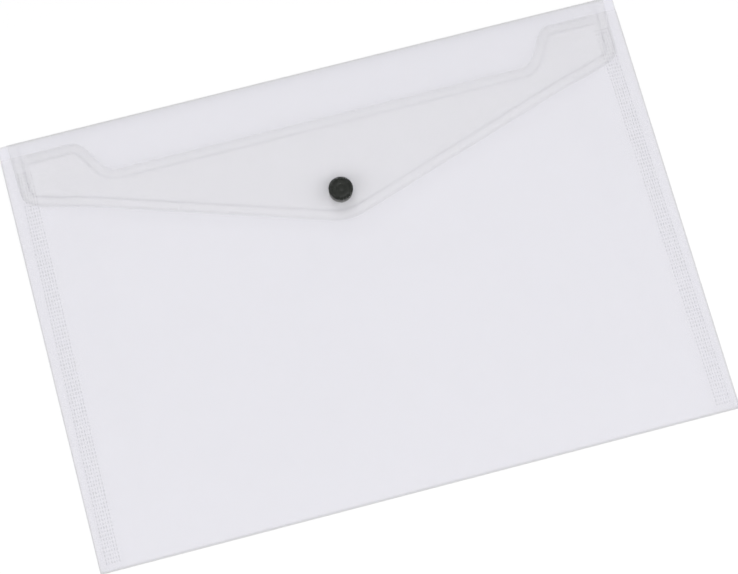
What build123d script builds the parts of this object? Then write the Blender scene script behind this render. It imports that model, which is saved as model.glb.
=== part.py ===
"""Landscape envelope wallet of polypropylene film with a pointed flap and a plastic press stud.

Millimetres. The origin is the centre of the resting underside. +X runs along the width, +Y towards the
crease of the flap, and +Z up out of the front. The film blank lies folded twice: along the bottom between
rear and front wall, and along the top between rear wall and flap. The empty pocket stands open by a low
crown, as springy film does. The closed flap follows that crown one clearance above it, and bulges up over
the press stud.
"""

import os

from build123d import *

# Film blank
width = 330.0
height = 230.0
film = 0.3  # thickness of the film
flap_gap = 0.4  # free height between the closed flap and the front wall

# Pocket
pocket_rise = 4.3  # free height inside the empty pocket, at the crown
weld_margin = 13.5  # front wall margin that is welded to the rear wall, at each side
side_slope = 34.0  # how far in from the weld the front wall reaches its full rise
bottom_slope = 38.0  # how far up from the bottom fold it does
crown_excess = 0.02  # the curve up from a side meets the level run this far before its own top
shoulder_rise = 0.4  # free height under the shoulders of the mouth

# Mouth of the pocket
shoulder_drop = 7.6  # from the top crease down to a shoulder
mouth_drop = 28.3  # from the top crease down to the low run of the mouth
shoulder_length = 23.0
mouth_curve = 21.0  # width of the S between a shoulder and the low run

# Flap
flap_inset = 5.0  # the flap is cut in from each side by this at its crease
flap_taper = 1.2  # and by this more at its outer corners
flap_side = 33.8  # from the crease down to an outer corner, before rounding
flap_depth = 86.0  # from the crease down to the point, before rounding
flap_corner_radius = 10.0
flap_tip_radius = 28.0
flap_slope = 32.0  # how far down from the crease the flap reaches its full height

# Press stud
snap_drop = 68.6  # from the top crease down to the centre of the stud
dish_depth = 1.6  # the front wall is pressed down around the stud
dome_rise = 0.8  # the flap bulges up over it
dish_radius = 18.0  # of dish and dome
dish_floor_radius = 7.5  # of their level middle
post_radius = 1.2
post_clearance = 0.1  # radial, between a post and its hole
small_bevel = 0.25  # on hidden edges of the stud's pieces
cap_radius = 6.3
cap_height = 2.3
cap_side = 1.2  # height of the cap's upright side, below its bevel
cap_bevel = 1.1  # width of that bevel
cap_rim = 0.55  # width of the flat top of the rim
cap_recess = 0.5  # depth of the recess inside the rim
cap_ring_radius = 2.2  # raised ring in the middle of the recess
cap_ring_width = 0.6
cap_ring_height = 0.25
cap_clench = 0.35  # thickness of the flattened end of the cap's post
cap_clench_radius = 1.9
socket_radius = 5.0
socket_base = 0.5
stud_flange = 0.8
stud_flange_radius = 4.6
stud_floor = 0.6  # thickness left under the well of the stud
stud_wall = 0.6  # wall of the ball around that well
ball_radius = 2.3
ball_clearance = 0.1  # radial, ball in socket
stud_gap = 0.1  # free height between the two halves, at the flange and above the ball
rivet_radius = 6.0
rivet_thickness = 1.1
rivet_clench = 0.5  # thickness of the flattened end of the rivet's post

# Heights above the surface that the wallet lies on
rear_top = film
front_under = rear_top + pocket_rise
front_top = front_under + film
flap_under = front_top + flap_gap
dish_under = front_under - dish_depth
dish_top = dish_under + film
dome_under = flap_under + dome_rise
dome_top = dome_under + film

# Places in plan
fold_y = film - height / 2  # centre of the bottom fold
crease_y = height / 2 - film  # centre of the top crease, which the flap turns about
shoulder_y = height / 2 - shoulder_drop
mouth_y = height / 2 - mouth_drop
snap_y = height / 2 - snap_drop
weld_x = width / 2 - weld_margin  # inner edge of a weld
crown_x = weld_x - side_slope  # from here inwards the front wall is level
shoulder_x = weld_x - shoulder_length
run_x = shoulder_x - mouth_curve
flap_root_x = width / 2 - flap_inset
flap_corner_x = flap_root_x - flap_taper
reach = (width + height) / 2  # past every edge, for the volumes that are cut to an outline
hole_radius = post_radius + post_clearance

os.makedirs("parts", exist_ok=True)


def finish(builder, name):
    """Name a piece and write it."""
    builder.part.label = name
    export_step(builder.part, f"parts/{name}.step")


def s_curve(start, end):
    """From one height to another, level at both ends."""
    middle = (start[0] + end[0]) / 2
    Bezier(start, (middle, start[1]), (middle, end[1]), end)


def across_profile(edge_z, crown_z, base_z):
    """Across the wallet: level over the pocket, down to edge_z at the welds and level again over them."""
    with BuildSketch(Plane.XZ) as profile:
        with BuildLine():
            Line((-reach, edge_z), (-weld_x, edge_z))
            s_curve((-weld_x, edge_z), (-crown_x, crown_z))
            Line((-crown_x, crown_z), (crown_x, crown_z))
            s_curve((crown_x, crown_z), (weld_x, edge_z))
            Line((weld_x, edge_z), (reach, edge_z))
            Polyline((reach, edge_z), (reach, base_z), (-reach, base_z), (-reach, edge_z))
        make_face()
    return profile.sketch


def front_profile(lift, base_z):
    """Up the front wall: it rises from the bottom fold, runs level and sinks towards its shoulders."""
    foot_z = rear_top + lift
    crown_z = front_under + lift
    shoulder_z = foot_z + shoulder_rise
    level_y = fold_y + bottom_slope
    with BuildSketch(Plane.YZ) as profile:
        with BuildLine():
            Line((-reach, foot_z), (fold_y, foot_z))
            Bezier((fold_y, foot_z), ((fold_y + level_y) / 2, crown_z), (level_y, crown_z))
            Line((level_y, crown_z), (mouth_y, crown_z))
            s_curve((mouth_y, crown_z), (shoulder_y, shoulder_z))
            Line((shoulder_y, shoulder_z), (reach, shoulder_z))
            Polyline((reach, shoulder_z), (reach, base_z), (-reach, base_z), (-reach, foot_z))
        make_face()
    return profile.sketch


def flap_profile(lift, base_z):
    """Up the closed flap: level over the front wall, then down to lie on the rear wall at the crease."""
    crown_z = flap_under + lift
    crease_z = rear_top + lift
    level_y = crease_y - flap_slope
    with BuildSketch(Plane.YZ) as profile:
        with BuildLine():
            Line((-reach, crown_z), (level_y, crown_z))
            Bezier((level_y, crown_z), ((level_y + crease_y) / 2, crown_z), (crease_y, crease_z))
            Line((crease_y, crease_z), (reach, crease_z))
            Polyline((reach, crease_z), (reach, base_z), (-reach, base_z), (-reach, crown_z))
        make_face()
    return profile.sketch


def space_below(run_profile, edge_z, crown_z, lift, base_z):
    """Everything from base_z up to the lower of the two profiles, both raised by lift."""
    with BuildPart() as space:
        extrude(across_profile(edge_z + lift, crown_z + lift, base_z), amount=reach, both=True)
        extrude(run_profile(lift, base_z), amount=reach, both=True, mode=Mode.INTERSECT)
    return space.part


def crowned_film(run_profile, edge_z, crown_z):
    """A sheet of film, larger than its outline, whose underside is at the heights given."""
    with BuildPart() as sheet:
        add(space_below(run_profile, edge_z, crown_z, film, 0))
        add(space_below(run_profile, edge_z, crown_z, 0, -film), mode=Mode.SUBTRACT)
    return sheet.part


def ring_profile(rim_under, floor_under):
    """Half of the dished or domed ring of film around the stud, from its hole out to the sheet."""
    rim_top = rim_under + film
    floor_top = floor_under + film
    with BuildSketch(Plane.XZ.offset(-snap_y)) as profile:
        with BuildLine():
            s_curve((dish_floor_radius, floor_under), (dish_radius, rim_under))
            Line((dish_radius, rim_under), (dish_radius, rim_top))
            s_curve((dish_radius, rim_top), (dish_floor_radius, floor_top))
            Polyline(
                (dish_floor_radius, floor_top),
                (hole_radius, floor_top),
                (hole_radius, floor_under),
                (dish_floor_radius, floor_under),
            )
        make_face()
    return profile.sketch


def side_weld(name, side):
    """Front wall margin at one side, -1 left and 1 right, lying on the rear wall that it is welded to."""
    with BuildPart() as weld:
        with BuildSketch(Plane.XY.offset(rear_top)):
            with Locations((side * (weld_x + weld_margin / 2), (fold_y + shoulder_y) / 2)):
                Rectangle(weld_margin, shoulder_y - fold_y)
        extrude(amount=film)
    finish(weld, name)


def fold_strip(name, length, y, side):
    """A tight fold along X: a half-round strip of two films' height, whose flat meets both walls."""
    with BuildPart() as strip:
        with BuildSketch(Plane.YZ):
            with BuildLine():
                ThreePointArc((y, 0), (y + side * film, film), (y, 2 * film))
                Line((y, 2 * film), (y, 0))
            make_face()
        extrude(amount=length / 2, both=True)
    finish(strip, name)


def turned(name, profile):
    """A round piece of the press stud, from the outline of its right half as (radius, height) points."""
    with BuildPart() as piece:
        with BuildSketch(Plane.XZ.offset(-snap_y)):
            with BuildLine():
                Polyline(*profile, close=True)
            make_face()
        revolve(axis=Axis((0, snap_y, 0), (0, 0, 1)))
    finish(piece, name)


# Rear wall: flat, from fold to fold
with BuildPart() as back_panel:
    with BuildSketch(Plane.XY):
        with Locations((0, (fold_y + crease_y) / 2)):
            Rectangle(width, crease_y - fold_y)
    extrude(amount=film)
finish(back_panel, "back_panel")

# Front wall: crowned, with a stepped mouth and a dish around the stud
front_blank = crowned_film(front_profile, rear_top, front_under + crown_excess)
with BuildPart() as front_panel:
    add(front_blank)
    with BuildSketch(Plane.XY):
        with BuildLine():
            Polyline((-shoulder_x, shoulder_y), (-weld_x, shoulder_y), (-weld_x, fold_y))
            Line((-weld_x, fold_y), (weld_x, fold_y))
            Polyline((weld_x, fold_y), (weld_x, shoulder_y), (shoulder_x, shoulder_y))
            s_curve((shoulder_x, shoulder_y), (run_x, mouth_y))
            Line((run_x, mouth_y), (-run_x, mouth_y))
            s_curve((-run_x, mouth_y), (-shoulder_x, shoulder_y))
        make_face()
        with Locations((0, snap_y)):
            Circle(dish_radius, mode=Mode.SUBTRACT)
    extrude(amount=front_top + film, mode=Mode.INTERSECT)
    revolve(ring_profile(front_under, dish_under), axis=Axis((0, snap_y, 0), (0, 0, 1)))
finish(front_panel, "front_panel")

# Margins and folds of the film blank
side_weld("side_weld_left", -1)
side_weld("side_weld_right", 1)
fold_strip("bottom_fold", width, fold_y, -1)
fold_strip("flap_crease", 2 * flap_root_x, crease_y, 1)

# Flap: pointed, with rounded tip and corners, a dome over the stud and a hole for the cap's post
flap_blank = crowned_film(flap_profile, rear_top + film + flap_gap, flap_under + crown_excess)
with BuildPart() as flap:
    add(flap_blank)
    with BuildSketch(Plane.XY):
        with Locations((0, snap_y)):
            Circle(dish_radius)
    extrude(amount=dome_top + film, mode=Mode.SUBTRACT)
    revolve(ring_profile(flap_under, dome_under), axis=Axis((0, snap_y, 0), (0, 0, 1)))
    with BuildSketch(Plane.XY) as flap_outline:
        with BuildLine():
            Polyline(
                (-flap_root_x, crease_y),
                (-flap_corner_x, crease_y - flap_side),
                (0, crease_y - flap_depth),
                (flap_corner_x, crease_y - flap_side),
                (flap_root_x, crease_y),
                close=True,
            )
        make_face()
        fillet(flap_outline.vertices().sort_by(Axis.Y)[1:3], flap_corner_radius)
        fillet(flap_outline.vertices().sort_by(Axis.Y)[0], flap_tip_radius)
    extrude(amount=dome_top + film, mode=Mode.INTERSECT)
finish(flap, "flap")

# Cap: bevelled button on the flap, whose post goes through film and socket and is flattened below
cap_top = dome_top + cap_height
cap_floor = cap_top - cap_recess
rim_radius = cap_radius - cap_bevel
ring_inner = cap_ring_radius - cap_ring_width
clench_top = dome_under - socket_base
clench_under = clench_top - cap_clench
turned(
    "snap_cap",
    [
        (0, clench_under),
        (cap_clench_radius, clench_under),
        (cap_clench_radius, clench_top),
        (post_radius, clench_top),
        (post_radius, dome_top),
        (cap_radius, dome_top),
        (cap_radius, dome_top + cap_side),
        (rim_radius, cap_top),
        (rim_radius - cap_rim, cap_top),
        (rim_radius - cap_rim, cap_floor),
        (cap_ring_radius, cap_floor),
        (cap_ring_radius, cap_floor + cap_ring_height),
        (ring_inner, cap_floor + cap_ring_height),
        (ring_inner, cap_floor),
        (0, cap_floor),
    ],
)

# Socket: a cup under the flap, open downwards for the ball, with a hole for the cap's post in its base
socket_bore = ball_radius + ball_clearance
socket_under = dish_top + stud_flange + stud_gap
turned(
    "snap_socket",
    [
        (hole_radius, dome_under),
        (hole_radius, clench_top),
        (socket_bore, clench_top),
        (socket_bore, socket_under + small_bevel),
        (socket_bore + small_bevel, socket_under),
        (socket_radius - small_bevel, socket_under),
        (socket_radius, socket_under + small_bevel),
        (socket_radius, dome_under),
    ],
)

# Stud: a flange on the front wall with a hollow ball, held by the rivet's post through its floor
ball_top = clench_under - stud_gap
well_radius = ball_radius - stud_wall
well_floor = dish_top + stud_floor
flange_top = dish_top + stud_flange
turned(
    "snap_stud",
    [
        (hole_radius, dish_top),
        (stud_flange_radius, dish_top),
        (stud_flange_radius, flange_top - small_bevel),
        (stud_flange_radius - small_bevel, flange_top),
        (ball_radius, flange_top),
        (ball_radius, ball_top - small_bevel),
        (ball_radius - small_bevel, ball_top),
        (well_radius, ball_top),
        (well_radius, well_floor),
        (hole_radius, well_floor),
    ],
)

# Rivet: button inside the pocket, whose post goes through the front wall and is flattened in the stud's well
rivet_under = dish_under - rivet_thickness
rivet_clench_radius = well_radius - post_clearance
turned(
    "snap_rivet",
    [
        (0, rivet_under),
        (rivet_radius - small_bevel, rivet_under),
        (rivet_radius, rivet_under + small_bevel),
        (rivet_radius, dish_under),
        (post_radius, dish_under),
        (post_radius, well_floor),
        (rivet_clench_radius, well_floor),
        (rivet_clench_radius, well_floor + rivet_clench),
        (0, well_floor + rivet_clench),
    ],
)
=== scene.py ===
"""Frosted polypropylene document wallet with a pointed flap and a black press stud.

The film blank is folded twice: along the bottom between rear and front wall, and along the top between rear
wall and flap. Walls and flap are thin closed sheets that follow the crown of the empty pocket. All places
are in metres in the model's own frame: +X along the width, +Y towards the flap's crease, +Z up.
"""

import math

import bpy
import numpy as np
from bpy.props import FloatProperty, FloatVectorProperty, IntProperty, PointerProperty
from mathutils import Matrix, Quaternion, Vector
from mathutils.geometry import delaunay_2d_cdt


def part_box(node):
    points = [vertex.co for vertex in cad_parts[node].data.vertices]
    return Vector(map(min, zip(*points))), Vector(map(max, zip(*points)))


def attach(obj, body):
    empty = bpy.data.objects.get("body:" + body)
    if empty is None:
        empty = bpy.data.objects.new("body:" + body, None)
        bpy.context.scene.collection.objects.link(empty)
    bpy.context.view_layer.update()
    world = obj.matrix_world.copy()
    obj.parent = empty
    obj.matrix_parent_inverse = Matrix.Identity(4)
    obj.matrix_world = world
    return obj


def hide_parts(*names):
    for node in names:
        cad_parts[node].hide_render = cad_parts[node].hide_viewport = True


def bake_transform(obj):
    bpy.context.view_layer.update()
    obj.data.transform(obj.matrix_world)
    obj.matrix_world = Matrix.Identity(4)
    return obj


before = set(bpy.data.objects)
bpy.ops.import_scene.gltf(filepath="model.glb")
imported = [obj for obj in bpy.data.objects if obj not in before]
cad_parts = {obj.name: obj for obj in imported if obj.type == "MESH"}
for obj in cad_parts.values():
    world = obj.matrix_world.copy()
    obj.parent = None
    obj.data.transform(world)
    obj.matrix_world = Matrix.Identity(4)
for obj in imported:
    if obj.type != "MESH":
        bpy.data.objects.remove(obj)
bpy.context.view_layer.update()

bl_info = {
    "name": "Press-stud document wallet",
    "version": (1, 0, 0),
    "blender": (4, 5, 0),
    "location": "View3D > Sidebar > Wallet",
    "description": "Builds a translucent document wallet with its flap, welds and press stud",
    "category": "Add Mesh",
}

MM = 0.001

# Places read from the frame
REAR_LOW, REAR_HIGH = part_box("back_panel")
FRONT_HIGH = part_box("front_panel")[1]
FLAP_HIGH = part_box("flap")[1]
CAP_LOW, CAP_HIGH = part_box("snap_cap")
SOCKET_LOW, SOCKET_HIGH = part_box("snap_socket")
STUD_LOW, STUD_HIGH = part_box("snap_stud")
RIVET_LOW, RIVET_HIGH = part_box("snap_rivet")

FILM = REAR_HIGH.z - REAR_LOW.z
HALF_WIDTH = REAR_HIGH.x
FOLD_Y = REAR_LOW.y
CREASE_Y = REAR_HIGH.y
REAR_TOP = REAR_HIGH.z
WELD_X = FRONT_HIGH.x
SHOULDER_Y = FRONT_HIGH.y
RISE = FRONT_HIGH.z - FILM - REAR_TOP
DOME_RISE = 0.8 * MM  # the flap's bulge over the press stud
FLAP_UNDER = FLAP_HIGH.z - FILM - DOME_RISE
FLAP_GAP = FLAP_UNDER - FRONT_HIGH.z
SNAP_Y = (CAP_LOW.y + CAP_HIGH.y) / 2

# Sizes of the design that no box of a node gives
SIDE_SLOPE = 34.0 * MM
BOTTOM_SLOPE = 38.0 * MM
SHOULDER_RISE = 0.4 * MM
MOUTH_Y = CREASE_Y + FILM - 28.3 * MM
SHOULDER_LENGTH = 23.0 * MM
MOUTH_CURVE = 21.0 * MM
FLAP_SLOPE = 32.0 * MM
FLAP_TAPER = 1.2 * MM
FLAP_SIDE = 33.8 * MM
FLAP_DEPTH = 86.0 * MM
FLAP_CORNER_RADIUS = 10.0 * MM
FLAP_TIP_RADIUS = 28.0 * MM
DISH_DEPTH = 1.6 * MM
DISH_RADIUS = 18.0 * MM
DISH_FLOOR = 7.5 * MM
POST_HOLE = 1.3 * MM
POST_RADIUS = 1.2 * MM
CLENCH_RADIUS = 1.9 * MM  # of the post's flattened end
CLENCH_HEIGHT = 0.35 * MM
BALL_RADIUS = 2.3 * MM
SOCKET_BORE = 2.4 * MM

LAID_GAP = 0.04 * MM  # air between films that lie on each other

# Where the camera stands, in degrees round the wallet, above it and turned about its own view
CAMERA_AZIMUTH = -17.02
CAMERA_ELEVATION = 74.02
CAMERA_ROLL = -2.12
CAMERA_TARGET = (0.0010, -0.0059, 0.0)


# ---------------------------------------------------------------- colours and nodes


def linear(code):
    """A colour given as sRGB hex, such as "E7E6EC", as linear RGBA."""
    values = [int(code[i : i + 2], 16) / 255 for i in (0, 2, 4)]
    return (*[v / 12.92 if v <= 0.04045 else ((v + 0.055) / 1.055) ** 2.4 for v in values], 1.0)


def add_node(tree, kind, settings=None, **inputs):
    """One node with its settings and its inputs, each a value or another node's output socket."""
    node = tree.nodes.new(kind)
    for name, value in (settings or {}).items():
        setattr(node, name, value)
    for name, value in inputs.items():
        socket = node.inputs[int(name[1:])] if name[0] == "_" else node.inputs[name.replace("_", " ")]
        if isinstance(value, bpy.types.NodeSocket):
            tree.links.new(value, socket)
        else:
            socket.default_value = value
    return node


def new_material(name):
    """An empty node material with a surface output."""
    material = bpy.data.materials.new(name)
    material.use_nodes = True
    material.node_tree.nodes.clear()
    output = add_node(material.node_tree, "ShaderNodeOutputMaterial")
    return material, material.node_tree, output


def film_material(name, colour, opacity, roughness):
    """Matt extruded polypropylene film: milky, lets most light through, softly blurred shine.

    The attribute "shade" darkens it where a bead or a crease bends the light away. The fine matt emboss of
    the chill roll is drawn about twice as coarse as the real one, so that it shows.
    """
    material, tree, output = new_material(name)
    place = add_node(tree, "ShaderNodeTexCoord").outputs["Object"]
    # haze varies by a percent or two over some centimetres, along the extrusion
    drawn = add_node(tree, "ShaderNodeMapping", Vector=place, Scale=(9.0, 26.0, 26.0))
    haze = add_node(tree, "ShaderNodeTexNoise", Vector=drawn.outputs[0], Scale=1.0, Detail=3.0)
    tint = add_node(
        tree,
        "ShaderNodeMix",
        {"data_type": "RGBA"},
        _0=haze.outputs["Fac"],
        _6=tuple(c * 0.965 for c in colour[:3]) + (1.0,),
        _7=colour,
    )
    # painted shade: the shade attribute mixes the film's colour towards dark grey, standing in for light bent away at
    # beads, lips, folds, creases and cut edges; it also darkens welds, pads and the flap evenly
    shade = add_node(tree, "ShaderNodeAttribute", {"attribute_name": "shade"})
    body = add_node(
        tree,
        "ShaderNodeMix",
        {"data_type": "RGBA"},
        _0=shade.outputs["Fac"],
        _6=tint.outputs[2],
        _7=linear("3C3D42"),
    )
    # matt grain, 0.9 mm between bumps
    grain = add_node(tree, "ShaderNodeTexNoise", Vector=place, Scale=1 / (0.9 * MM), Detail=2.0)
    sheen = add_node(
        tree,
        "ShaderNodeMapRange",
        Value=haze.outputs["Fac"],
        To_Min=roughness - 0.04,
        To_Max=roughness + 0.05,
    )
    bump = add_node(tree, "ShaderNodeBump", Strength=0.25, Distance=0.02 * MM, Height=grain.outputs["Fac"])
    shader = add_node(
        tree,
        "ShaderNodeBsdfPrincipled",
        Base_Color=body.outputs[2],
        Roughness=sheen.outputs[0],
        Normal=bump.outputs[0],
        IOR=1.49,
        Alpha=opacity,
    )
    tree.links.new(shader.outputs[0], output.inputs[0])
    return material


def stud_material(name, colour, roughness):
    """Injection-moulded black acetal: smooth, semi-gloss, with a trace of flow marks and handling wear."""
    material, tree, output = new_material(name)
    place = add_node(tree, "ShaderNodeTexCoord").outputs["Object"]
    flow = add_node(tree, "ShaderNodeTexNoise", Vector=place, Scale=1 / (4.0 * MM), Detail=4.0, Distortion=0.6)
    tint = add_node(
        tree,
        "ShaderNodeMix",
        {"data_type": "RGBA"},
        _0=flow.outputs["Fac"],
        _6=colour,
        _7=tuple(c * 1.5 for c in colour[:3]) + (1.0,),
    )
    sheen = add_node(
        tree,
        "ShaderNodeMapRange",
        Value=flow.outputs["Fac"],
        To_Min=roughness - 0.05,
        To_Max=roughness + 0.08,
    )
    fine = add_node(tree, "ShaderNodeTexNoise", Vector=place, Scale=1 / (0.25 * MM), Detail=2.0)
    bump = add_node(tree, "ShaderNodeBump", Strength=0.12, Distance=0.01 * MM, Height=fine.outputs["Fac"])
    shader = add_node(
        tree,
        "ShaderNodeBsdfPrincipled",
        Base_Color=tint.outputs[2],
        Roughness=sheen.outputs[0],
        Normal=bump.outputs[0],
        IOR=1.48,
    )
    tree.links.new(shader.outputs[0], output.inputs[0])
    return material


# ---------------------------------------------------------------- shape of the film


def eased(share):
    """0 to 1 along the S-curve of the design, level at both ends."""
    t = np.linspace(0, 1, 201)
    along = 1.5 * t * (1 - t) + t**3
    return np.interp(share, along, 3 * t**2 - 2 * t**3)


def rising(share):
    """0 to 1, steepest at 0 and level at 1."""
    return 1 - (1 - np.clip(share, 0, 1)) ** 2


def crown(x):
    """Share of the full rise across the wallet: 0 at the welds, 1 over the pocket."""
    return eased((WELD_X - np.abs(x)) / SIDE_SLOPE)


def ripple(x, y, seed):
    """Slow waves of a springy film, -1 to 1."""
    a = np.sin(x * 38 + seed) * np.cos(y * 31 + 1.7 * seed)
    b = np.sin(x * 21 - y * 27 + 2.3 * seed)
    return 0.6 * a + 0.4 * b


def near_snap(x, y):
    """1 around the press stud, 0 where its dish and dome end."""
    return 1 - eased((np.hypot(x, y - SNAP_Y) - DISH_FLOOR) / (DISH_RADIUS - DISH_FLOOR))


def front_under(x, y):
    """Height of the front wall's underside, without its beads."""
    up = rising((y - FOLD_Y) / BOTTOM_SLOPE)
    sink = eased((y - MOUTH_Y) / (SHOULDER_Y - MOUTH_Y))
    up = up * (1 - sink * (1 - SHOULDER_RISE / RISE))
    return REAR_TOP + LAID_GAP + (RISE - LAID_GAP) * crown(x) * up - DISH_DEPTH * near_snap(x, y)


def flap_under(x, y):
    """Height of the closed flap's underside, without its bead."""
    down = CREASE_Y - y
    over_margin = (FILM + FLAP_GAP) * eased(down / (5 * MM))
    dome = DOME_RISE * near_snap(x, y)
    return REAR_TOP + over_margin + RISE * crown(x) * rising(down / FLAP_SLOPE) + dome


# ---------------------------------------------------------------- outlines in plan


def s_curve(start, end, steps=28):
    """From start to end, running along X at both ends."""
    start, end = np.array(start), np.array(end)
    middle = (start[0] + end[0]) / 2
    t = np.linspace(0, 1, steps)[:, None]
    p1, p2 = np.array((middle, start[1])), np.array((middle, end[1]))
    return (1 - t) ** 3 * start + 3 * (1 - t) ** 2 * t * p1 + 3 * (1 - t) * t**2 * p2 + t**3 * end


def rounded(points, radii, closed=False, turn_step=math.radians(6)):
    """A polyline with its corners rounded; one radius per point, 0 for a sharp one."""
    points = [np.array(p, float) for p in points]
    count = len(points)
    made = []
    for i, (corner, radius) in enumerate(zip(points, radii)):
        if radius <= 0 or (not closed and i in (0, count - 1)):
            made.append(corner)
            continue
        back = points[i - 1] - corner
        ahead = points[(i + 1) % count] - corner
        back /= np.linalg.norm(back)
        ahead /= np.linalg.norm(ahead)
        half = math.acos(float(np.clip(back @ ahead, -1, 1))) / 2
        centre = corner + (back + ahead) / np.linalg.norm(back + ahead) * radius / math.sin(half)
        start = corner + back * radius / math.tan(half) - centre
        end = corner + ahead * radius / math.tan(half) - centre
        turn = math.pi - 2 * half
        side = math.copysign(1, start[0] * end[1] - start[1] * end[0])
        steps = max(2, math.ceil(turn / turn_step))
        for k in range(steps + 1):
            a = side * turn * k / steps
            c, s = math.cos(a), math.sin(a)
            made.append(centre + np.array((c * start[0] - s * start[1], s * start[0] + c * start[1])))
    return np.array(made)


def spaced(path, step):
    """The same line with no two points further apart than step."""
    made = [path[:1]]
    for a, b in zip(path[:-1], path[1:]):
        count = max(1, math.ceil(np.linalg.norm(b - a) / step))
        made.append(a + (b - a) * np.linspace(0, 1, count + 1)[1:, None])
    return np.concatenate(made)


def beside(path, distance):
    """The line moved to its left by distance."""
    along = np.gradient(path, axis=0)
    along /= np.linalg.norm(along, axis=1)[:, None]
    return path + distance * np.stack((-along[:, 1], along[:, 0]), 1)


def distance_to(path, points):
    """How far each point is from the line."""
    a, b = path[:-1], path[1:]
    best = np.full(len(points), np.inf)
    for start, end in zip(a, b):
        d = end - start
        t = np.clip(((points - start) @ d) / max(d @ d, 1e-18), 0, 1)
        best = np.minimum(best, np.linalg.norm(points - start - t[:, None] * d, axis=1))
    return best


def mouth_path():
    """The edge of the pocket's mouth, from the left side to the right."""
    shoulder_x = WELD_X - SHOULDER_LENGTH
    run_x = shoulder_x - MOUTH_CURVE
    left = np.array([(-HALF_WIDTH, SHOULDER_Y), (-shoulder_x, SHOULDER_Y)])
    down = s_curve((-shoulder_x, SHOULDER_Y), (-run_x, MOUTH_Y))
    half = np.concatenate((left, down[1:]))
    return spaced(np.concatenate((half, half[::-1] * (-1, 1))), 1.2 * MM)


def flap_path():
    """The free edge of the flap, from the left end of its crease round the tip to the right end."""
    root_x = FLAP_HIGH.x
    corner = (root_x - FLAP_TAPER, CREASE_Y - FLAP_SIDE)
    tip = (0.0, CREASE_Y - FLAP_DEPTH)
    points = [(-root_x, CREASE_Y), (-corner[0], corner[1]), tip, corner, (root_x, CREASE_Y)]
    radii = [0, FLAP_CORNER_RADIUS, FLAP_TIP_RADIUS, FLAP_CORNER_RADIUS, 0]
    return spaced(rounded(points, radii, turn_step=math.radians(1.5)), 1.2 * MM)


def bead_rows(path, inset, width):
    """Lines either side of a bead that runs beside the path, close enough together for its rounding."""
    return [beside(path, inset + width * k) for k in (-0.9, -0.55, -0.28, 0.0, 0.28, 0.55, 0.9)]


def bead_height(distance, inset, width, height):
    """An embossed bead: a low rounded ridge inset from the edge."""
    return height * np.exp(-(((distance - inset) / (0.42 * width)) ** 2))


def step(value, start, end):
    """0 up to start, 1 from end on, smooth between."""
    t = np.clip((value - start) / (end - start), 0, 1)
    return t * t * (3 - 2 * t)


def lined_edge(distance, settings, inset):
    """Painted shade of an embossed edge: a dark band along the cut and a dark line over the bead further in."""
    lip = step(distance, -0.4 * MM, 0.6 * MM) * (1 - step(distance, 0.6 * settings.edge_band, settings.edge_band))
    return settings.lip_shade * lip + settings.bead_shade * bead_height(distance, inset, settings.bead_width, 1.0)


def weld_edge(y):
    """Outer edge of the weld, which runs a little out of line with the side."""
    return HALF_WIDTH - 5.0 * MM + 0.0225 * np.clip(20 * MM - y, 0, None)


def rim_shade(x, y, settings):
    """Shade along the cut sides and the folds of the blank."""
    side = step(np.abs(x), HALF_WIDTH - 0.9 * MM, HALF_WIDTH - 0.3 * MM)
    fold = 1 - step(y, FOLD_Y + 0.5 * MM, FOLD_Y + 1.3 * MM)
    crease = step(y, CREASE_Y - 1.4 * MM, CREASE_Y - 0.5 * MM)
    return settings.fold_shade * np.maximum(np.maximum(side, fold), crease)


def rim_lines(half_width, low_y, high_y):
    """Lines just inside a wall's sides and folds, for the shade there."""
    made = []
    for inset in (0.3 * MM, 0.9 * MM):
        for side in (-1, 1):
            x = side * (half_width - inset)
            made.append(spaced(np.array([(x, low_y + 2 * MM), (x, high_y - 2 * MM)]), 4 * MM))
    for inset in (0.5 * MM, 1.3 * MM):
        for y in (low_y + inset, high_y - inset):
            made.append(spaced(np.array([(2 * MM - half_width, y), (half_width - 2 * MM, y)]), 4 * MM))
    return made


# ---------------------------------------------------------------- meshes


def add_piece(name, vertices, faces, material, smooth_angle=None):
    """A mesh object at the origin, with its place in its mesh."""
    mesh = bpy.data.meshes.new(name)
    mesh.from_pydata([tuple(v) for v in vertices], [], [tuple(int(i) for i in f) for f in faces])
    mesh.validate()
    mesh.materials.append(material)
    piece = bpy.data.objects.new(name, mesh)
    bpy.context.scene.collection.objects.link(piece)
    if smooth_angle is not None:
        mesh.shade_smooth()
        mesh.set_sharp_from_angle(angle=smooth_angle)
    return piece


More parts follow.
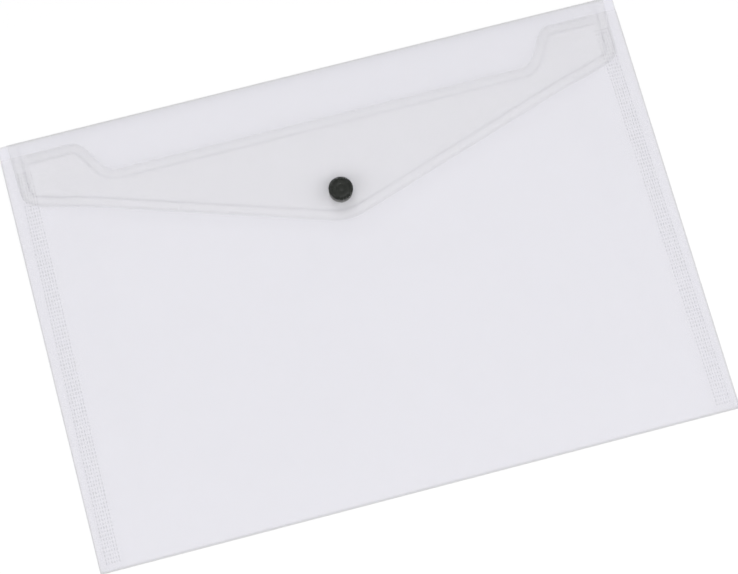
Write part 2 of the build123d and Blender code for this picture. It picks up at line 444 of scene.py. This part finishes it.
def film_sheet(name, outline, lines, spacing, under, material, hole=None, shade=None, crease=None):
    """A closed sheet of film over the outline.

    outline is closed, lines are more lines that its mesh follows, and under gives its underside's height.
    The upper side is one film thickness above. hole is (centre, radius), shade gives the attribute of that
    name, and crease is the Y of a straight edge that turns down and back under in a half-round.
    """
    low, high = outline.min(0), outline.max(0)
    xs = np.arange(low[0] + spacing / 2, high[0], spacing)
    ys = np.arange(low[1] + spacing / 2, high[1], spacing)
    grid = np.stack(np.meshgrid(xs, ys), -1).reshape(-1, 2)
    grid[:, 0] += np.where(np.round((grid[:, 1] - ys[0]) / spacing) % 2, spacing / 2, 0)
    keep = distance_to(np.concatenate((outline, outline[:1])), grid) > 0.5 * spacing
    for line in lines:
        keep &= distance_to(line, grid) > 0.4 * spacing
    points, edges = [], []
    loops = [(outline, True)] + [(line, False) for line in lines]
    if hole is not None:
        centre, radius = hole
        turns = np.linspace(0, 2 * math.pi, 49)[:-1]
        for share in (1.0, 1.6, 2.6, 4.0):
            ring = np.array(centre) + share * radius * np.stack((np.cos(turns), np.sin(turns)), 1)
            loops.append((ring, True))
        keep &= np.linalg.norm(grid - centre, axis=1) > 4.4 * radius
    for loop, closed in loops:
        first = len(points)
        points.extend(loop)
        edges.extend((first + i, first + i + 1) for i in range(len(loop) - 1))
        if closed:
            edges.append((first + len(loop) - 1, first))
    points.extend(grid[keep])
    in_mm = [Vector((p[0] / MM, p[1] / MM)) for p in points]
    flat, _, triangles, *_ = delaunay_2d_cdt(in_mm, edges, [], 1, 1e-4)
    plan = np.array([(v.x, v.y) for v in flat]) * MM
    triangles = np.array(triangles)
    if hole is not None:
        middle = plan[triangles].mean(1)
        triangles = triangles[np.linalg.norm(middle - centre, axis=1) > radius * 0.99]
    a, b, c = (plan[triangles[:, k]] for k in range(3))
    area = (b[:, 0] - a[:, 0]) * (c[:, 1] - a[:, 1]) - (b[:, 1] - a[:, 1]) * (c[:, 0] - a[:, 0])
    triangles = triangles[np.abs(area) > 1e-14]
    area = area[np.abs(area) > 1e-14]
    triangles[area < 0] = triangles[area < 0][:, ::-1]
    used = np.unique(triangles)
    renumber = np.full(len(plan), -1)
    renumber[used] = np.arange(len(used))
    plan, triangles = plan[used], renumber[triangles]
    count = len(plan)
    bottom = under(plan[:, 0], plan[:, 1])
    vertices = np.concatenate((np.c_[plan, bottom + FILM], np.c_[plan, bottom]))
    sides = {}
    for t in triangles:
        for i, j in ((t[0], t[1]), (t[1], t[2]), (t[2], t[0])):
            if sides.pop((j, i), None) is None:
                sides[i, j] = True
    faces = [tuple(t) for t in triangles] + [tuple(t[::-1] + count) for t in triangles]
    on_crease = np.abs(plan[:, 1] - crease) < 1e-7 if crease is not None else np.zeros(count, bool)
    rounds = {}
    turns = np.linspace(math.pi / 2, -math.pi / 2, 9)[1:]
    for i in np.flatnonzero(on_crease):
        first = len(vertices)
        arc = [(plan[i, 0], crease + FILM * math.cos(a), bottom[i] + FILM * math.sin(a)) for a in turns]
        vertices = np.concatenate((vertices, arc))
        rounds[i] = [i, *range(first, len(vertices)), i + count]
    for i, j in sides:
        if i in rounds and j in rounds:
            near, far = rounds[i], rounds[j]
            faces += [(near[k], near[k + 1], far[k + 1], far[k]) for k in range(len(near) - 1)]
        else:
            faces.append((i, i + count, j + count, j))
    if rounds:
        order = sorted(rounds, key=lambda i: plan[i, 0])
        faces += [tuple(rounds[order[0]]), tuple(rounds[order[-1]][::-1])]
    piece = add_piece(name, vertices, faces, material, math.radians(40))
    if shade is not None:
        values = piece.data.attributes.new("shade", "FLOAT", "POINT")
        values.data.foreach_set("value", np.clip(shade(vertices[:, 0], vertices[:, 1]), 0, 1).astype(np.float32))
    return piece


def turned(name, outline, centre, material, segments=96):
    """A round piece about the vertical through centre, from the closed outline of (radius, height)."""
    vertices, rings = [], []
    for radius, z in outline:
        if radius < 1e-7:
            rings.append([len(vertices)] * segments)
            vertices.append((centre[0], centre[1], z))
            continue
        rings.append(list(range(len(vertices), len(vertices) + segments)))
        for k in range(segments):
            a = 2 * math.pi * k / segments
            vertices.append((centre[0] + radius * math.cos(a), centre[1] + radius * math.sin(a), z))
    faces = []
    for near, far in zip(rings, rings[1:] + rings[:1]):
        for k in range(segments):
            m = (k + 1) % segments
            face = []
            for index in (near[k], near[m], far[m], far[k]):
                if index not in face:
                    face.append(index)
            if len(face) > 2:
                faces.append(face)
    return add_piece(name, vertices, faces, material, math.radians(35))


def circle_line(centre, radius, count):
    """A closed ring as a line that ends where it starts."""
    turns = np.linspace(0, 2 * math.pi, count + 1)
    return np.array(centre) + radius * np.stack((np.cos(turns), np.sin(turns)), 1)


def weld_mark_tree():
    """Rows and columns of small tapered pads, as the horn of an ultrasonic welder leaves them."""
    tree = bpy.data.node_groups.new("Weld marks", "GeometryNodeTree")
    face = tree.interface
    face.new_socket("Columns", in_out="INPUT", socket_type="NodeSocketInt")
    face.new_socket("Rows", in_out="INPUT", socket_type="NodeSocketInt")
    face.new_socket("Column spacing", in_out="INPUT", socket_type="NodeSocketFloat")
    face.new_socket("Pitch", in_out="INPUT", socket_type="NodeSocketFloat")
    face.new_socket("Lean", in_out="INPUT", socket_type="NodeSocketFloat")
    face.new_socket("Pad size", in_out="INPUT", socket_type="NodeSocketVector")
    face.new_socket("Seed", in_out="INPUT", socket_type="NodeSocketInt")
    face.new_socket("Material", in_out="INPUT", socket_type="NodeSocketMaterial")
    face.new_socket("Geometry", in_out="OUTPUT", socket_type="NodeSocketGeometry")
    given = add_node(tree, "NodeGroupInput").outputs
    less_columns = add_node(tree, "ShaderNodeMath", {"operation": "SUBTRACT"}, _0=given["Columns"], _1=1.0)
    less_rows = add_node(tree, "ShaderNodeMath", {"operation": "SUBTRACT"}, _0=given["Rows"], _1=1.0)
    across = add_node(
        tree, "ShaderNodeMath", {"operation": "MULTIPLY"}, _0=less_columns.outputs[0], _1=given["Column spacing"]
    )
    up = add_node(tree, "ShaderNodeMath", {"operation": "MULTIPLY"}, _0=less_rows.outputs[0], _1=given["Pitch"])
    grid = add_node(
        tree,
        "GeometryNodeMeshGrid",
        Size_X=across.outputs[0],
        Size_Y=up.outputs[0],
        Vertices_X=given["Columns"],
        Vertices_Y=given["Rows"],
    )
    place = add_node(tree, "ShaderNodeSeparateXYZ", Vector=add_node(tree, "GeometryNodeInputPosition").outputs[0])
    lean = add_node(tree, "ShaderNodeMath", {"operation": "MULTIPLY"}, _0=place.outputs["Y"], _1=given["Lean"])
    column = add_node(
        tree, "ShaderNodeMath", {"operation": "DIVIDE"}, _0=place.outputs["X"], _1=given["Column spacing"]
    )
    odd = add_node(tree, "ShaderNodeMath", {"operation": "PINGPONG"}, _0=column.outputs[0], _1=1.0)
    half = add_node(tree, "ShaderNodeMath", {"operation": "MULTIPLY"}, _0=odd.outputs[0], _1=given["Pitch"])
    stagger = add_node(tree, "ShaderNodeMath", {"operation": "MULTIPLY"}, _0=half.outputs[0], _1=0.5)
    shift = add_node(tree, "ShaderNodeCombineXYZ", X=lean.outputs[0], Y=stagger.outputs[0])
    moved = add_node(tree, "GeometryNodeSetPosition", Geometry=grid.outputs[0], Offset=shift.outputs[0])
    pad = add_node(
        tree,
        "GeometryNodeMeshCone",
        Vertices=4,
        Radius_Top=0.45,
        Radius_Bottom=math.sqrt(0.5),
        Depth=1.0,
    )
    square = add_node(
        tree, "GeometryNodeTransform", Geometry=pad.outputs["Mesh"], Rotation=(0.0, 0.0, math.pi / 4)
    )
    uneven = add_node(
        tree,
        "FunctionNodeRandomValue",
        {"data_type": "FLOAT"},
        _2=0.7,
        _3=1.2,
        Seed=given["Seed"],
    )
    size = add_node(
        tree, "ShaderNodeVectorMath", {"operation": "SCALE"}, Vector=given["Pad size"], Scale=uneven.outputs[1]
    )
    pads = add_node(
        tree,
        "GeometryNodeInstanceOnPoints",
        Points=moved.outputs[0],
        Instance=square.outputs[0],
        Scale=size.outputs[0],
    )
    whole = add_node(tree, "GeometryNodeRealizeInstances", Geometry=pads.outputs[0])
    done = add_node(
        tree, "GeometryNodeSetMaterial", Geometry=whole.outputs[0], Material=given["Material"]
    )
    output = add_node(tree, "NodeGroupOutput")
    tree.links.new(done.outputs[0], output.inputs[0])
    return tree


def grown_mesh(name, tree, values):
    """The plain mesh that a Geometry Nodes tree makes from these input values."""
    host = bpy.data.objects.new(name + "_host", bpy.data.meshes.new(name + "_host"))
    bpy.context.scene.collection.objects.link(host)
    modifier = host.modifiers.new("grow", "NODES")
    modifier.node_group = tree
    for item in tree.interface.items_tree:
        if item.in_out == "INPUT" and item.name in values:
            modifier[item.identifier] = values[item.name]
    bpy.context.view_layer.update()
    graph = bpy.context.evaluated_depsgraph_get()
    mesh = bpy.data.meshes.new_from_object(host.evaluated_get(graph))
    mesh.name = name
    bpy.data.objects.remove(host)
    return mesh


# ---------------------------------------------------------------- settings


def colour_property(name, description, code):
    return FloatVectorProperty(
        name=name, description=description, default=linear(code), size=4, subtype="COLOR", min=0.0, max=1.0
    )


def length_property(name, description, default):
    return FloatProperty(name=name, description=description, default=default, unit="LENGTH", precision=5)


class WALLET_PG_film(bpy.types.PropertyGroup):
    """The polypropylene film and its embossed beads."""

    colour: colour_property("Film colour", "Colour of the milky film", "F5F4F3")
    opacity: FloatProperty(
        name="Film opacity", description="How much each face of the film hides", default=0.09, min=0.0, max=1.0
    )
    roughness: FloatProperty(name="Film roughness", description="Blur of its shine", default=0.36)
    bead_width: length_property("Bead width", "Width of the embossed line inside an edge", 1.4 * MM)
    bead_height: length_property("Bead height", "How far that line stands up", 0.22 * MM)
    flap_inset: length_property("Flap bead inset", "From the flap's edge to its bead", 5.2 * MM)
    mouth_inset: length_property("Mouth bead inset", "From the mouth's edge to its bead", 5.2 * MM)
    spacing: length_property("Mesh spacing", "Distance between the points of a wall's mesh", 3.0 * MM)
    # painted shade: the rear wall is a darker, lilac copy of the film; the lilac is the film's own tint, the
    # darkening stands in for light lost where it lies on the table
    contact_shade_colour: colour_property(
        "Contact colour", "Colour of the rear wall, whose contact with the table swallows light", "AAA7CA"
    )
    # edge band, bead shade, lip shade and fold shade paint shade into the film's colour along cut edges, embossed
    # beads and folds; the film is no thicker there
    edge_band: length_property("Edge band", "Width of the painted shade along a cut edge", 2.0 * MM)
    bead_shade: FloatProperty(name="Bead shade", description="Darkening along an embossed bead", default=0.6)
    lip_shade: FloatProperty(name="Lip shade", description="Darkening along the lip of an edge", default=0.4)
    band_shade: FloatProperty(name="Band shade", description="Darkening between the mouth and its bead", default=0.14)
    # flap shade darkens the whole flap evenly
    flap_shade: FloatProperty(name="Flap shade", description="Even darkening over the whole flap", default=0.07)
    weld_shade: FloatProperty(name="Weld shade", description="Darkening of the fused weld", default=0.06)
    fold_shade: FloatProperty(name="Fold shade", description="Darkening along a fold and a side's cut", default=0.6)


class WALLET_PG_weld(bpy.types.PropertyGroup):
    """The ultrasonic side welds."""

    columns: IntProperty(name="Columns", description="Columns of pads across the weld", default=6, min=1)
    column_spacing: length_property("Column spacing", "Between two columns", 1.35 * MM)
    pitch: length_property("Pitch", "Between two pads of a column", 2.0 * MM)
    pad_length: length_property("Pad length", "Length of one pad", 1.1 * MM)
    pad_width: length_property("Pad width", "Width of one pad", 0.5 * MM)
    pad_height: length_property("Pad height", "How far a pad stands up", 0.1 * MM)
    pad_shade: FloatProperty(name="Pad shade", description="Darkening of a pad", default=0.55)
    lean: FloatProperty(name="Lean", description="How much the weld runs out of line with the edge", default=0.014)


class WALLET_PG_stud(bpy.types.PropertyGroup):
    """The press stud."""

    colour: colour_property("Stud colour", "Colour of the moulded plastic", "171A16")
    roughness: FloatProperty(name="Stud roughness", description="Blur of its shine", default=0.24)
    edge: length_property("Edge rounding", "Radius of the moulded edges", 0.18 * MM)


class WALLET_PG_stage(bpy.types.PropertyGroup):
    """Floor, lights and camera."""

    floor_colour: colour_property("Floor colour", "Colour of the plain floor", "F6F6F6")
    sky: FloatProperty(name="Sky", description="Strength of the even light from all sides", default=0.40)
    overhead: FloatProperty(name="Main lights", description="Power of the front and the back light", default=10.4)
    sides: FloatProperty(name="Side lights", description="Power of each side softbox", default=8.4)
    lens: FloatProperty(name="Lens", description="Focal length in mm on a 36 mm sensor", default=132.9)
    distance: length_property("Distance", "From the camera to the wallet", 1.385)


# ---------------------------------------------------------------- pieces


def film_of(context, name="frosted polypropylene film", colour=None):
    """The wallet's film material of this name, made once."""
    settings = context.scene.wallet_film
    made = bpy.data.materials.get(name)
    return made or film_material(name, tuple(colour or settings.colour), settings.opacity, settings.roughness)


def settle(piece, body, slot, *nodes):
    """The piece rides on its body and stands for these nodes. The slot is not used."""
    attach(piece, body)
    if nodes:
        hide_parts(*nodes)


class WALLET_OT_rear_wall(bpy.types.Operator):
    """Flat rear wall of the film blank"""

    bl_idname = "wallet.rear_wall"
    bl_label = "Rear wall"

    def execute(self, context):
        settings = context.scene.wallet_film
        corners = [
            (-HALF_WIDTH, FOLD_Y),
            (HALF_WIDTH, FOLD_Y),
            (HALF_WIDTH, CREASE_Y),
            (-HALF_WIDTH, CREASE_Y),
            (-HALF_WIDTH, FOLD_Y),
        ]
        outline = spaced(np.array(corners), 6 * MM)[:-1]
        piece = film_sheet(
            "rear_wall",
            outline,
            rim_lines(HALF_WIDTH, FOLD_Y, CREASE_Y),
            12 * MM,
            lambda x, y: 0 * x,
            # the darker copy of the film, with painted shade of its contact with the table
            film_of(context, "frosted polypropylene film, painted contact shade", settings.contact_shade_colour),
            shade=lambda x, y: rim_shade(x, y, settings),
        )
        settle(piece, "wallet", "film", "back_panel")
        return {"FINISHED"}


class WALLET_OT_front_wall(bpy.types.Operator):
    """Front wall with its welded margins, stepped mouth, embossed bead and the dish around the stud"""

    bl_idname = "wallet.front_wall"
    bl_label = "Front wall"

    def lip_rows(self, mouth, settings):
        for inset in (0.6 * MM, 0.6 * settings.edge_band, settings.edge_band):
            row = beside(mouth, -inset)
            yield row[np.abs(row[:, 0]) < WELD_X]

    def execute(self, context):
        settings = context.scene.wallet_film
        mouth = mouth_path()
        rest = np.array(
            [(HALF_WIDTH, SHOULDER_Y), (HALF_WIDTH, FOLD_Y), (-HALF_WIDTH, FOLD_Y), (-HALF_WIDTH, SHOULDER_Y)]
        )
        outline = np.concatenate((mouth, spaced(rest, 3 * MM)[1:-1]))
        lines = []
        for row in bead_rows(mouth, -settings.mouth_inset, -settings.bead_width):
            lines.append(row[np.abs(row[:, 0]) < WELD_X])
        lines += self.lip_rows(mouth, settings)
        ys = np.linspace(FOLD_Y + 2 * MM, SHOULDER_Y - 9 * MM, 80)
        for side in (-1, 1):
            for x in (WELD_X - 2 * MM, WELD_X, WELD_X + 1 * MM):
                lines.append(np.stack((side * x + 0 * ys, ys), 1))
            for inset in (3.4, 2.6, 0.5, -0.2):
                lines.append(np.stack((side * (weld_edge(ys) - inset * MM), ys), 1))
        lines += [row for row in rim_lines(HALF_WIDTH, FOLD_Y, SHOULDER_Y) if row[:, 1].min() < 0]
        snap = (0.0, SNAP_Y)
        lines += [circle_line(snap, r * MM, 48) for r in (7.5, 9, 10.5, 12, 13.5, 15, 16.5, 18)]

        def under(x, y):
            d = distance_to(mouth, np.stack((x, y), 1))
            bead = bead_height(d, settings.mouth_inset, settings.bead_width, settings.bead_height)
            ends = np.clip((WELD_X - np.abs(x)) / (2 * MM), 0, 1)
            below = np.clip((MOUTH_Y - y) / (20 * MM), 0, 1) * (y > FOLD_Y + 2 * MM)
            return front_under(x, y) + bead * ends + 0.12 * MM * below * crown(x) * ripple(x, y, 0.4)

        def shade(x, y):
            d = distance_to(mouth, np.stack((x, y), 1))
            fused = step(np.abs(x), WELD_X - 1 * MM, WELD_X + 1 * MM)
            outside = step(np.abs(x), weld_edge(y) - 0.5 * MM, weld_edge(y) + 0.2 * MM)
            seam = step(np.abs(x), weld_edge(y) - 3.4 * MM, weld_edge(y) - 2.6 * MM)
            weld = settings.weld_shade * fused * (1 - outside) * (1 + seam)
            rim = rim_shade(x, y, settings) * (y < SHOULDER_Y - 1 * MM)
            # painted shade of the mouth's lip and bead, with an even darkening of the band between them
            band = settings.band_shade * (1 - step(d, settings.mouth_inset, settings.mouth_inset + 0.8 * MM))
            edge = lined_edge(d, settings, settings.mouth_inset) * (1 - settings.band_shade) + band
            return np.maximum(edge * (1 - fused) + weld, rim)

        piece = film_sheet(
            "front_wall",
            outline,
            lines,
            settings.spacing,
            under,
            film_of(context),
            hole=(snap, POST_HOLE),
            shade=shade,
        )
        settle(piece, "wallet", "film", "front_panel", "side_weld_left", "side_weld_right")
        return {"FINISHED"}


class WALLET_OT_bottom_fold(bpy.types.Operator):
    """Tight half-round fold along the bottom"""

    bl_idname = "wallet.bottom_fold"
    bl_label = "Bottom fold"

    def execute(self, context):
        stations = np.linspace(-HALF_WIDTH, HALF_WIDTH, 140)
        turns = np.linspace(-math.pi / 2, math.pi / 2, 13)
        count = len(turns)
        vertices = [
            (x, FOLD_Y - FILM * math.cos(a), FILM + FILM * math.sin(a)) for x in stations for a in turns
        ]
        faces = [tuple(range(count)), tuple(range(len(vertices) - 1, len(vertices) - 1 - count, -1))]
        for i in range(len(stations) - 1):
            for k in range(count):
                m = (k + 1) % count
                faces.append((i * count + k, (i + 1) * count + k, (i + 1) * count + m, i * count + m))
        piece = add_piece("bottom_fold_film", vertices, faces, film_of(context), math.radians(40))
        settle(piece, "wallet", "film", "bottom_fold")
        return {"FINISHED"}


class WALLET_OT_weld_marks(bpy.types.Operator):
    """Pads of the ultrasonic weld along both sides"""

    bl_idname = "wallet.weld_marks"
    bl_label = "Weld marks"

    def execute(self, context):
        settings = context.scene.wallet_weld
        tree = weld_mark_tree()
        length = SHOULDER_Y - FOLD_Y - 12 * MM
        centre_x = WELD_X + 4.6 * MM
        centre_y = (SHOULDER_Y + FOLD_Y) / 2 - 3 * MM
        for side, word in ((-1, "left"), (1, "right")):
            values = {
                "Columns": settings.columns,
                "Rows": int(length / settings.pitch),
                "Column spacing": settings.column_spacing,
                "Pitch": settings.pitch,
                "Lean": -side * settings.lean,
                "Pad size": (settings.pad_width, settings.pad_length, settings.pad_height),
                "Seed": 4 + side,
                "Material": film_of(context),
            }
            mesh = grown_mesh(f"weld_marks_{word}", tree, values)
            dark = mesh.attributes.new("shade", "FLOAT", "POINT")
            dark.data.foreach_set("value", [settings.pad_shade] * len(mesh.vertices))
            sunk = 0.02 * MM
            for vertex in mesh.vertices:
                vertex.co += Vector((side * centre_x, centre_y, REAR_TOP + LAID_GAP + FILM - sunk))
            piece = bpy.data.objects.new(mesh.name, mesh)
            context.scene.collection.objects.link(piece)
            settle(piece, "wallet", "film")
        return {"FINISHED"}


class WALLET_OT_flap(bpy.types.Operator):
    """Pointed flap with its embossed bead and the living hinge along its crease"""

    bl_idname = "wallet.flap"
    bl_label = "Flap"

    def execute(self, context):
        settings = context.scene.wallet_film
        edge = flap_path()
        crease = spaced(np.array([edge[-1], edge[0]]), 2 * MM)
        outline = np.concatenate((edge, crease[1:-1]))
        lines = []
        for row in bead_rows(edge, settings.flap_inset, settings.bead_width):
            lines.append(row[row[:, 1] < CREASE_Y - 4 * MM])
        for inset in (0.6 * MM, 0.6 * settings.edge_band, settings.edge_band):
            row = beside(edge, inset)
            lines.append(row[row[:, 1] < CREASE_Y - 4 * MM])
        for down in (0.4, 0.8, 1.3, 1.9, 2.6):
            y = CREASE_Y - down * MM
            half = FLAP_HIGH.x - 0.8 * MM
            lines.append(spaced(np.array([(-half, y), (half, y)]), 2 * MM))
        snap = (0.0, SNAP_Y)
        lines += [circle_line(snap, r * MM, 48) for r in (6.5, 7.5, 8.5, 9.5, 10.5, 11.5)]

        def under(x, y):
            d = distance_to(edge, np.stack((x, y), 1))
            bead = bead_height(d, settings.flap_inset, settings.bead_width, settings.bead_height)
            ends = np.clip((CREASE_Y - y - 4 * MM) / (6 * MM), 0, 1)
            return flap_under(x, y) + bead * ends + 0.06 * MM * (0.5 + 0.5 * ripple(x, y, 2.1)) * ends

        def shade(x, y):
            d = distance_to(edge, np.stack((x, y), 1))
            lines = lined_edge(d, settings, settings.flap_inset) * np.clip((CREASE_Y - y - 3 * MM) / (4 * MM), 0, 1)
            # painted shade: darker over the last 9 mm towards the crease where the film curves over, and a dark line
            # along the crease itself
            crease_bend_shade = 0.12 * step(y, CREASE_Y - 9 * MM, CREASE_Y - 1 * MM)
            line = step(y, CREASE_Y - 1.3 * MM, CREASE_Y - 0.4 * MM)
            return np.maximum(settings.flap_shade + lines + crease_bend_shade, settings.fold_shade * line)

        piece = film_sheet(
            "flap_film",
            outline,
            lines,
            settings.spacing,
            under,
            film_of(context),
            hole=(snap, POST_HOLE),
            shade=shade,
            crease=CREASE_Y,
        )
        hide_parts("flap", "flap_crease")
        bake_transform(piece)
        return {"FINISHED"}


class WALLET_OT_press_stud(bpy.types.Operator):
    """The four moulded pieces of the press stud"""

    bl_idname = "wallet.press_stud"
    bl_label = "Press stud"

    def execute(self, context):
        settings = context.scene.wallet_stud
        black = stud_material("moulded black acetal", tuple(settings.colour), settings.roughness)
        centre = (0.0, SNAP_Y)
        edge = settings.edge
        radius, top = CAP_HIGH.x, CAP_HIGH.z
        film_top, under_flap = FLAP_HIGH.z, SOCKET_HIGH.z
        recess = top - 0.5 * MM
        cap = [
            ((0, CAP_LOW.z), 0),
            ((CLENCH_RADIUS, CAP_LOW.z), 0.1 * MM),
            ((CLENCH_RADIUS, CAP_LOW.z + CLENCH_HEIGHT), 0.1 * MM),
            ((POST_RADIUS, CAP_LOW.z + CLENCH_HEIGHT), 0),
            ((POST_RADIUS, film_top), 0),
            ((radius, film_top), edge),
            ((radius, film_top + 1.2 * MM), 0.5 * MM),
            ((radius - 1.1 * MM, top), edge),
            ((radius - 1.65 * MM, top), edge),
            ((radius - 1.85 * MM, recess), 0.1 * MM),
            ((2.3 * MM, recess), 0.08 * MM),
            ((2.15 * MM, recess + 0.2 * MM), 0.08 * MM),
            ((1.65 * MM, recess + 0.2 * MM), 0.08 * MM),
            ((1.5 * MM, recess), 0.08 * MM),
            ((0, recess), 0),
        ]
        socket = [
            ((POST_HOLE, under_flap), 0),
            ((POST_HOLE, under_flap - 0.5 * MM), 0),
            ((SOCKET_BORE, under_flap - 0.5 * MM), 0.1 * MM),
            ((SOCKET_BORE, SOCKET_LOW.z), edge),
            ((3.2 * MM, SOCKET_LOW.z), edge),
            ((3.2 * MM, SOCKET_LOW.z + 0.3 * MM), 0.1 * MM),
            ((4.0 * MM, SOCKET_LOW.z + 0.3 * MM), 0.1 * MM),
            ((4.0 * MM, SOCKET_LOW.z), edge),
            ((SOCKET_HIGH.x, SOCKET_LOW.z), edge),
            ((SOCKET_HIGH.x, under_flap), edge),
        ]
        seat = STUD_LOW.z
        stud = [
            ((POST_HOLE, seat), 0),
            ((STUD_HIGH.x, seat), edge),
            ((STUD_HIGH.x, seat + 0.8 * MM), edge),
            ((BALL_RADIUS, seat + 0.8 * MM), 0.1 * MM),
            ((BALL_RADIUS, STUD_HIGH.z), edge),
            ((1.7 * MM, STUD_HIGH.z), 0.1 * MM),
            ((1.7 * MM, seat + 0.6 * MM), 0.1 * MM),
            ((POST_HOLE, seat + 0.6 * MM), 0),
        ]
        low, under_front = RIVET_LOW.z, seat - FILM
        rivet = [
            ((0, low), 0),
            ((RIVET_HIGH.x, low), 0.4 * MM),
            ((RIVET_HIGH.x, under_front), edge),
            ((POST_RADIUS, under_front), 0),
            ((POST_RADIUS, seat + 0.6 * MM), 0),
            ((1.6 * MM, seat + 0.6 * MM), 0.1 * MM),
            ((1.6 * MM, RIVET_HIGH.z), 0.1 * MM),
            ((0, RIVET_HIGH.z), 0),
        ]
        for name, profile, node, body in (
            ("cap_button", cap, "snap_cap", "flap"),
            ("socket_cup", socket, "snap_socket", "flap"),
            ("stud_ball", stud, "snap_stud", "wallet"),
            ("rivet_button", rivet, "snap_rivet", "wallet"),
        ):
            points, radii = zip(*profile)
            outline = rounded(points, radii, closed=True, turn_step=math.radians(15))
            settle(turned(name, outline, centre, black), body, "press_stud", node)
        return {"FINISHED"}


class WALLET_OT_stage(bpy.types.Operator):
    """Plain floor, soft lights and the camera"""

    bl_idname = "wallet.stage"
    bl_label = "Stage"

    def execute(self, context):
        settings = context.scene.wallet_stage
        scene = context.scene
        paper, tree, output = new_material("white paper sweep")
        place = add_node(tree, "ShaderNodeTexCoord").outputs["Object"]
        tooth = add_node(tree, "ShaderNodeTexNoise", Vector=place, Scale=1 / (1.5 * MM))
        bump = add_node(tree, "ShaderNodeBump", Strength=0.05, Distance=0.02 * MM, Height=tooth.outputs["Fac"])
        shader = add_node(
            tree,
            "ShaderNodeBsdfPrincipled",
            Base_Color=tuple(settings.floor_colour),
            Roughness=0.9,
            Normal=bump.outputs[0],
        )
        tree.links.new(shader.outputs[0], output.inputs[0])
        half, below = 4.0, -0.1 * MM
        corners = [(-half, -half, below), (half, -half, below), (half, half, below), (-half, half, below)]
        add_piece("floor", corners, [(0, 1, 2, 3)], paper)

        world = bpy.data.worlds.new("sky")
        world.use_nodes = True
        world.node_tree.nodes["Background"].inputs["Color"].default_value = (1, 1, 1, 1)
        world.node_tree.nodes["Background"].inputs["Strength"].default_value = settings.sky
        scene.world = world
        for name, place, size, power in (
            ("front_light", (0.1, -1.2, 1.5), 1.0, settings.overhead),
            ("back_light", (-0.1, 1.3, 1.4), 1.0, settings.overhead),
            ("left_softbox", (-1.3, -0.45, 1.1), 0.9, settings.sides),
            ("right_softbox", (1.3, -0.5, 1.1), 0.9, settings.sides),
        ):
            light = bpy.data.lights.new(name, "AREA")
            light.size = size
            light.energy = power
            lamp = bpy.data.objects.new(name, light)
            lamp.location = place
            lamp.rotation_mode = "QUATERNION"
            lamp.rotation_quaternion = (-Vector(place)).to_track_quat("-Z", "Y")
            scene.collection.objects.link(lamp)

        azimuth, elevation, roll = map(math.radians, (CAMERA_AZIMUTH, CAMERA_ELEVATION, CAMERA_ROLL))
        target = Vector(CAMERA_TARGET)
        back = Vector(
            (
                math.sin(azimuth) * math.cos(elevation),
                -math.cos(azimuth) * math.cos(elevation),
                math.sin(elevation),
            )
        )
        data = bpy.data.cameras.new("camera")
        data.lens = settings.lens
        data.sensor_width = 36.0
        data.clip_start = 0.05
        camera = bpy.data.objects.new("camera", data)
        camera.location = target + back * settings.distance
        camera.rotation_mode = "QUATERNION"
        camera.rotation_quaternion = (-back).to_track_quat("-Z", "Y") @ Quaternion((0, 0, 1), -roll)
        scene.collection.objects.link(camera)
        scene.camera = camera
        scene.view_settings.view_transform = "Standard"
        scene.cycles.transparent_max_bounces = 48
        return {"FINISHED"}


class WALLET_PT_panel(bpy.types.Panel):
    """The wallet's sizes and the steps that build it"""

    bl_idname = "WALLET_PT_panel"
    bl_label = "Document wallet"
    bl_space_type = "VIEW_3D"
    bl_region_type = "UI"
    bl_category = "Wallet"

    def draw(self, context):
        for group in GROUPS:
            settings = getattr(context.scene, group)
            box = self.layout.box()
            for name in settings.__annotations__:
                box.prop(settings, name)
        for step in STEPS:
            self.layout.operator(step.bl_idname)


GROUPS = {
    "wallet_film": WALLET_PG_film,
    "wallet_weld": WALLET_PG_weld,
    "wallet_stud": WALLET_PG_stud,
    "wallet_stage": WALLET_PG_stage,
}
STEPS = (
    WALLET_OT_stage,
    WALLET_OT_rear_wall,
    WALLET_OT_front_wall,
    WALLET_OT_bottom_fold,
    WALLET_OT_weld_marks,
    WALLET_OT_flap,
    WALLET_OT_press_stud,
)
CLASSES = (*GROUPS.values(), *STEPS, WALLET_PT_panel)


def register():
    for cls in CLASSES:
        bpy.utils.register_class(cls)
    for name, cls in GROUPS.items():
        setattr(bpy.types.Scene, name, PointerProperty(type=cls))


def unregister():
    for name in GROUPS:
        delattr(bpy.types.Scene, name)
    for cls in reversed(CLASSES):
        bpy.utils.unregister_class(cls)


def main():
    register()
    for step in STEPS:
        group, name = step.bl_idname.split(".")
        getattr(getattr(bpy.ops, group), name)()


if __name__ == "__main__":
    main()
